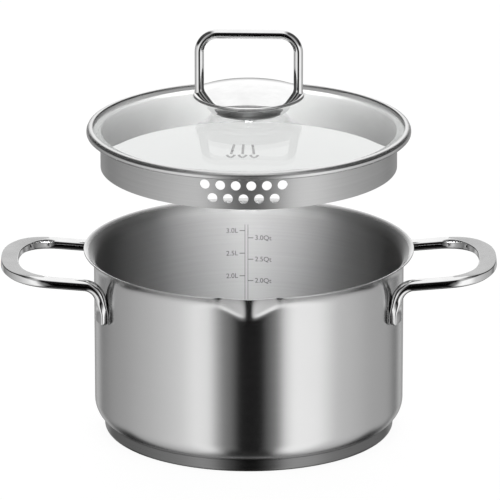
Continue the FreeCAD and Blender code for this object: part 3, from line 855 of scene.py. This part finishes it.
# ---------------------------------------------------------------- printed and etched marks
def flat_shapes(outlines, thickness=0.02):
    """Thin prisms on closed outlines, in a plane, as a bmesh."""
    bm = bmesh.new()
    for outline in outlines:
        low = [bm.verts.new((x, y, 0)) for x, y in outline]
        high = [bm.verts.new((x, y, thickness)) for x, y in outline]
        bm.faces.new(low)
        bm.faces.new(high)
        join_rings(bm, low, high)
    return bm


def lettering(text, size, x, y, align, bm):
    """Adds a short label to a flat bmesh."""
    curve = bpy.data.curves.new("label", "FONT")
    curve.body = text
    curve.size = size
    curve.align_x = align
    curve.align_y = "CENTER"
    curve.extrude = 0.01
    holder = bpy.data.objects.new("label", curve)
    bpy.context.scene.collection.objects.link(holder)
    bpy.context.view_layer.update()
    mesh = bpy.data.meshes.new_from_object(holder.evaluated_get(bpy.context.evaluated_depsgraph_get()))
    mesh.transform(Matrix.Translation((x, y, 0.01)))
    bm.from_mesh(mesh)
    bpy.data.objects.remove(holder)
    bpy.data.curves.remove(curve)
    bpy.data.meshes.remove(mesh)


def stripe(x0, y0, x1, y1, width):
    """The outline of a straight stroke with square ends."""
    along = Vector((x1 - x0, y1 - y0)).normalized()
    offset = Vector((-along.y, along.x)) * width / 2
    a, b = Vector((x0, y0)), Vector((x1, y1))
    return [tuple(a - offset), tuple(b - offset), tuple(b + offset), tuple(a + offset)]


def make_scale():
    """Litre and quart marks on the inside of the wall, opposite the spout."""
    left, right = -2.6, -0.6
    half_litre = 15.9
    two_litres = 69.0
    quart = 0.9463529
    line, tick, tick_length = 0.32, 0.5, 3.6
    figure_height, figure_gap = 4.7, 4.6
    above_wall = 0.015
    heights = spread(two_litres - 40, PAN_TOP - FLARE_HEIGHT - 6.5, 30)
    outlines = []
    for x in (left, right):
        for low, high in zip(heights, heights[1:]):
            outlines.append(stripe(x, low, x, high, line))
    labels = []
    for step in range(3):
        volume = 2.0 + step / 2
        z = two_litres + half_litre * 2 * (volume - 2.0)
        outlines.append(stripe(left - tick_length, z, left, z, tick))
        labels.append((f"{volume:.1f}L", left - figure_gap, z, "RIGHT"))
        z = two_litres + half_litre * 2 * (volume * quart - 2.0)
        outlines.append(stripe(right, z, right + tick_length, z, tick))
        labels.append((f"{volume:.1f}Qt", right + figure_gap, z, "LEFT"))
    bm = flat_shapes(outlines)
    for text, x, z, align in labels:
        lettering(text, figure_height, x, z, align, bm)
    for vertex in bm.verts:
        x, z, lift = vertex.co
        radius = PAN_BORE - above_wall - lift
        vertex.co = (x, math.sqrt(radius * radius - x * x), z)
    make_object("volume_scale", bm, "pan", "shell_steel", etched_mark, sharp=30)


def make_pictogram(crown, top):
    """A plain pour symbol on the glass: three fanned strokes, each over a shallow arc."""
    centre_x, centre_y = -1.3, -77.0
    spacing, length, lean = 7.4, 16.0, 1.6
    bowl_width, bowl_depth, bowl_drop, bowl_end = 3.0, 9.0, 3.2, 0.95
    outlines = []
    for turn in (-1, 0, 1):
        foot_x = centre_x + turn * spacing
        path = [(foot_x - turn * lean * t, centre_y + length * t) for t in spread(0.1, 1.0, 6)]
        bowl = [
            (foot_x + bowl_width * math.sin(a), centre_y + bowl_depth * (1 - math.cos(a)) - bowl_drop)
            for a in spread(-bowl_end, bowl_end, 8)
        ]
        for line, width in ((path, 1.6), (bowl, 1.7)):
            for start, end in zip(line, line[1:]):
                outlines.append(stripe(*start, *end, width))
    bm = flat_shapes(outlines)
    for vertex in bm.verts:
        x, y, lift = vertex.co
        vertex.co.z = top + crown(math.hypot(x, y)) + 0.02 + lift
    turn_lid(bm)
    make_object("pour_symbol", bm, "lid", "clear_glass", glass_print, sharp=30)


# ---------------------------------------------------------------- studio
def tone(value):
    """Linear light for an sRGB tone from 0 to 255."""
    value /= 255
    return value / 12.92 if value <= 0.04045 else ((value + 0.055) / 1.055) ** 2.4


STEEL = 0.62  # how much light the brushed steel returns
SKY_STRENGTH = 2.0


def azimuth_ramp(graph, azimuth, stops):
    """A colour ramp round the horizon through one ring of stops."""
    ramp = graph.node("ShaderNodeValToRGB")
    elements = ramp.color_ramp.elements
    while len(elements) > 1:
        elements.remove(elements[-1])
    stops = sorted(stops)
    for i, (degrees, seen) in enumerate(stops):
        position = (degrees + 180) / 360
        element = elements[0] if i == 0 else elements.new(position)
        element.position = position
        level = tone(seen) / STEEL / SKY_STRENGTH
        element.color = (level, level, level, 1)
    graph.link(azimuth, ramp.inputs["Fac"])
    return ramp.outputs["Color"]


# Brightness round the horizon, as (degrees from the camera's side, tone seen in steel). The low ring
# is for reflections that leave level or downwards, the high ring for those that rise.
LOW_STOPS = [
    (-180, 120), (-166, 130), (-154, 170), (-142, 112), (-124, 140), (-100, 160), (-78, 178), (-52, 205),
    (-40, 228), (-30, 222), (-24, 165), (-19, 120), (-14, 106), (-10, 72), (-7, 0), (10, 0), (12, 66),
    (16, 96), (20, 112), (23, 142), (27, 205), (34, 236), (54, 232), (70, 190), (100, 165), (128, 150),
    (142, 100), (154, 170), (166, 130), (180, 120),
]
HIGH_STOPS = [
    (-180, 226), (-164, 222), (-150, 120), (-138, 30), (-60, 30), (-42, 150), (-26, 160), (-16, 15),
    (16, 15), (26, 160), (48, 150), (68, 30), (138, 30), (150, 120), (164, 222), (180, 226),
]
BELOW_TONE = 25
OVERHEAD_TONE = 228
OVERHEAD_SIDE_TONE = 60
FLOOR_DROP = 0.0002
BAND_STRENGTH = 19.0
BAND_NONE = 112.0  # degrees from the middle of the band where its light has faded out


def make_world():
    """A studio of soft light: tall panels round the horizon and a long bank overhead."""
    world = bpy.data.worlds.new("studio")
    bpy.context.scene.world = world
    world.use_nodes = True
    graph = Graph(world.node_tree)
    x, y, z = graph.split(graph.node("ShaderNodeTexCoord").outputs["Generated"])
    sideways = graph.math("ABSOLUTE", x)
    turn = graph.math("ARCTAN2", x, graph.math("MULTIPLY", y, -1.0))
    azimuth = graph.math("ADD", graph.math("DIVIDE", turn, 2 * math.pi), 0.5)
    low = azimuth_ramp(graph, azimuth, LOW_STOPS)
    high = azimuth_ramp(graph, azimuth, HIGH_STOPS)

    def blend(weight, a, b):
        made = graph.node("ShaderNodeMix", data_type="RGBA")
        graph.put(made.inputs[0], weight)
        graph.put(made.inputs[6], a)
        graph.put(made.inputs[7], b)
        return made.outputs[2]

    def level(seen):
        return even(tone(seen) / STEEL / SKY_STRENGTH) + (1,)

    # the walls, and the bank overhead, which leans back a little and is darker towards its sides
    walls = blend(graph.remap(z, 0.0, 1.0, 0.0, 0.14), low, high)
    leaning = graph.math("ADD", graph.math("MULTIPLY", z, 0.85), graph.math("MULTIPLY", y, 0.40))
    overhead = graph.remap(leaning, 0.0, 1.0, 0.25, 0.48)
    bank_side = graph.remap(sideways, 0.0, 1.0, 0.20, 0.45)
    bank = blend(bank_side, level(OVERHEAD_TONE), level(OVERHEAD_SIDE_TONE))
    room = blend(overhead, walls, bank)

    # dark under the object: straight down in the middle, and towards the back
    straight_down = graph.remap(z, 1.0, 0.0, -0.80, -0.62)
    middle = graph.remap(sideways, 1.0, 0.0, 0.16, 0.36)
    in_front = graph.remap(y, 1.0, 0.0, 0.02, 0.20)
    below = graph.math("MULTIPLY", graph.math("MULTIPLY", straight_down, middle), in_front)
    behind = graph.remap(y, 0.0, 1.0, 0.24, 0.38)
    rear = graph.math("MULTIPLY", graph.remap(z, 1.0, 0.0, -0.62, -0.48), behind)
    room = blend(graph.math("MAXIMUM", below, rear), room, level(BELOW_TONE))

    # what the camera sees directly, or through the glass, is plain white
    lit = graph.node("ShaderNodeBackground")
    graph.link(room, lit.inputs["Color"])
    lit.inputs["Strength"].default_value = SKY_STRENGTH
    seen = graph.node("ShaderNodeBackground")
    seen.inputs["Color"].default_value = (1, 1, 1, 1)
    seen.inputs["Strength"].default_value = 1.05
    path = graph.node("ShaderNodeLightPath")
    bounces = graph.math("ADD", path.outputs["Glossy Depth"], path.outputs["Diffuse Depth"])
    direct = graph.math("LESS_THAN", bounces, 0.5)
    choose = graph.node("ShaderNodeMixShader")
    graph.link(direct, choose.inputs[0])
    graph.link(lit.outputs[0], choose.inputs[1])
    graph.link(seen.outputs[0], choose.inputs[2])
    output = graph.node("ShaderNodeOutputWorld")
    graph.link(choose.outputs[0], output.inputs[0])


def make_floor():
    """A wide pale floor just under the pan; it glows a little so that it stays plain and even."""
    bm = bmesh.new()
    bmesh.ops.create_grid(bm, x_segments=8, y_segments=8, size=30.0)
    mesh = bpy.data.meshes.new("studio_floor")
    bm.to_mesh(mesh)
    bm.free()
    floor = bpy.data.objects.new("studio_floor", mesh)
    floor.location.z = -FLOOR_DROP
    bpy.context.scene.collection.objects.link(floor)
    material, graph, shader = new_material("studio_floor")
    coordinates = graph.node("ShaderNodeTexCoord").outputs["Object"]
    grain = graph.noise(coordinates, 40.0, 2.0)
    graph.link(graph.grey(grain, even(0.12), even(0.14)), shader.inputs["Base Color"])
    shader.inputs["Roughness"].default_value = 0.9
    shader.inputs["Specular IOR Level"].default_value = 0.1
    shader.inputs["Emission Color"].default_value = (1, 1, 1, 1)
    shader.inputs["Emission Strength"].default_value = 0.94
    mesh.materials.append(material)
    floor.visible_glossy = False
    floor.visible_diffuse = False


def make_light_band():
    """A curved strip of light inside the gap between lid and pan; it shines inwards only."""
    radius, low, high = 0.092, 0.124, 0.172
    reach = math.radians(144)
    steps = 48
    mesh = bpy.data.meshes.new("light_band")
    verts = []
    for a in spread(-reach, reach, steps):
        x, y = radius * math.sin(a), -radius * math.cos(a)
        verts += [(x, y, low), (x, y, high)]
    mesh.from_pydata(verts, [], [(2 * i, 2 * i + 1, 2 * i + 3, 2 * i + 2) for i in range(steps)])
    band = bpy.data.objects.new("light_band", mesh)
    bpy.context.scene.collection.objects.link(band)
    material = bpy.data.materials.new("light_band")
    material.use_nodes = True
    graph = Graph(material.node_tree)
    x, y, _ = graph.split(graph.node("ShaderNodeTexCoord").outputs["Object"])
    away = graph.math("ABSOLUTE", graph.math("ARCTAN2", x, graph.math("MULTIPLY", y, -1.0)))
    fade = graph.remap(away, 1.0, 0.0, 0.0, math.radians(BAND_NONE))
    inward = graph.math("SUBTRACT", 1.0, graph.node("ShaderNodeNewGeometry").outputs["Backfacing"])
    glow = graph.node("ShaderNodeEmission")
    light = graph.math("MULTIPLY", graph.math("MULTIPLY", fade, inward), BAND_STRENGTH)
    graph.link(light, glow.inputs["Strength"])
    clear = graph.node("ShaderNodeBsdfTransparent")
    both = graph.node("ShaderNodeAddShader")
    graph.link(glow.outputs[0], both.inputs[0])
    graph.link(clear.outputs[0], both.inputs[1])
    graph.link(both.outputs[0], graph.node("ShaderNodeOutputMaterial").inputs[0])
    mesh.materials.append(material)
    band.visible_camera = False
    band.visible_transmission = False


def make_camera():
    """A long lens straight in front of the spout, looking down at it by about 18 degrees."""
    look_down = math.radians(17.92)
    data = bpy.data.cameras.new("camera")
    data.sensor_width = 36.0
    data.lens = 410.3
    data.clip_start = 0.1
    data.clip_end = 200.0
    camera = bpy.data.objects.new("camera", data)
    bpy.context.scene.collection.objects.link(camera)
    camera.location = (0.00078, -3.528, 1.2603)
    camera.rotation_euler = (math.pi / 2 - look_down, 0, 0)
    bpy.context.scene.camera = camera


make_pan()
make_base()
make_handle(-1, "left_handle", "handle_left")
make_handle(1, "right_handle", "handle_right")
make_lid_ring()
make_lid_skirt()
dome_crown, glass_top = make_glass_dome()
make_knob_cup()
make_knob_cover()
make_knob_loop()
make_scale()
make_pictogram(dome_crown, glass_top)
make_world()
make_floor()
make_light_band()
make_camera()

bpy.context.scene.view_settings.view_transform = "Standard"
